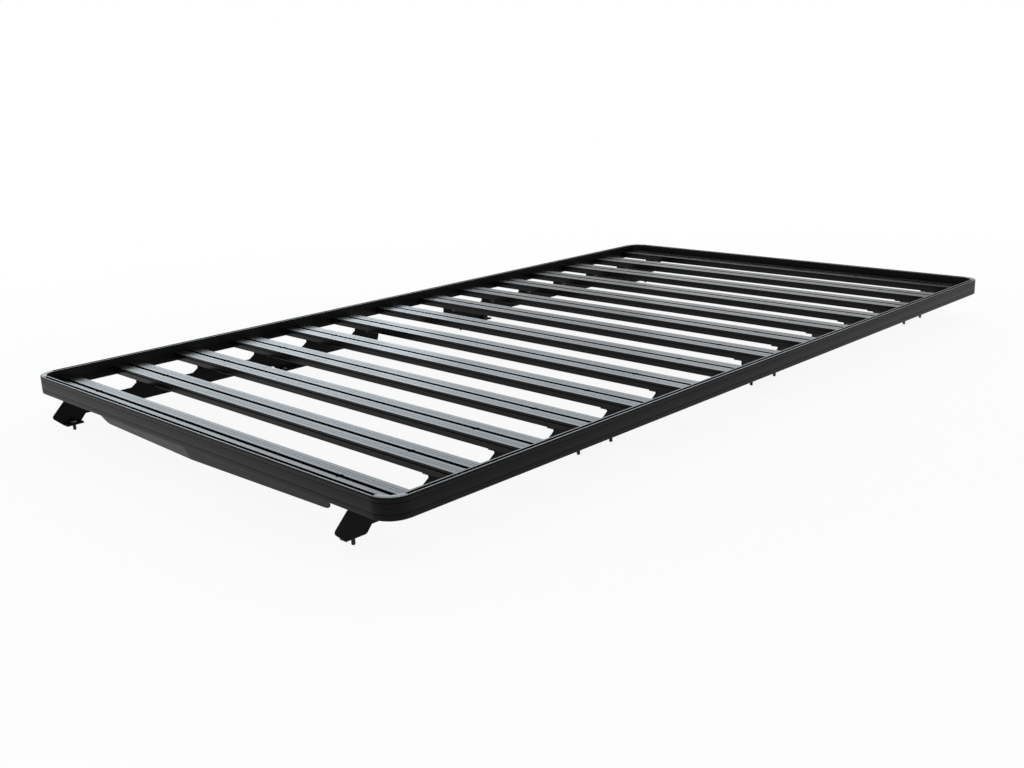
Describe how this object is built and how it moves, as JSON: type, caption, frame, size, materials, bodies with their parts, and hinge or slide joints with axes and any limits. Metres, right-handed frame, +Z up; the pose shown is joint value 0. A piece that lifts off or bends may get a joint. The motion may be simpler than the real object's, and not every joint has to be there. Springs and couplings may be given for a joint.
{
  "type": "flat platform roof rack",
  "caption": "Flat vehicle roof rack: a black tray of extruded rails and T-slot slats on bent foot rails, with a wind deflector under its front edge.",
  "frame": {"origin": "middle of the footprint, at the level of the tips of the mounting bolts that the rack stands on", "axes": "+X to the right across the vehicle, +Y to the rear along its length, +Z up"},
  "size_m": [1.345, 2.389, 0.121],
  "materials": {
    "rail_aluminium": "black powder coat",
    "corner_casting": "black powder coat",
    "slat_aluminium": "black powder coat",
    "foot_steel": "black powder coat",
    "deflector_sheet": "black powder coat",
    "bolt_steel": "dull zinc"
  },
  "bodies": {
    "root": {"front_rail": "rail_aluminium", "rear_rail": "rail_aluminium", "left_rail": "rail_aluminium", "right_rail": "rail_aluminium", "corner_front_left": "corner_casting", "corner_front_right": "corner_casting", "corner_rear_left": "corner_casting", "corner_rear_right": "corner_casting", "slat_01": "slat_aluminium", "slat_02": "slat_aluminium", "slat_03": "slat_aluminium", "slat_04": "slat_aluminium", "slat_05": "slat_aluminium", "slat_06": "slat_aluminium", "slat_07": "slat_aluminium", "slat_08": "slat_aluminium", "slat_09": "slat_aluminium", "slat_10": "slat_aluminium", "slat_11": "slat_aluminium", "slat_12": "slat_aluminium", "slat_13": "slat_aluminium", "slat_14": "slat_aluminium", "foot_rail_front_left": "foot_steel", "foot_rail_front_right": "foot_steel", "foot_rail_rear_left": "foot_steel", "foot_rail_rear_right": "foot_steel", "wind_deflector": "deflector_sheet", "bolt_front_left": "bolt_steel", "bolt_front_right": "bolt_steel", "bolts_mid_front_left": "bolt_steel", "bolts_mid_front_right": "bolt_steel", "bolts_mid_rear_left": "bolt_steel", "bolts_mid_rear_right": "bolt_steel", "bolts_rear_left": "bolt_steel", "bolts_rear_right": "bolt_steel"}
  },
  "joints": []
}
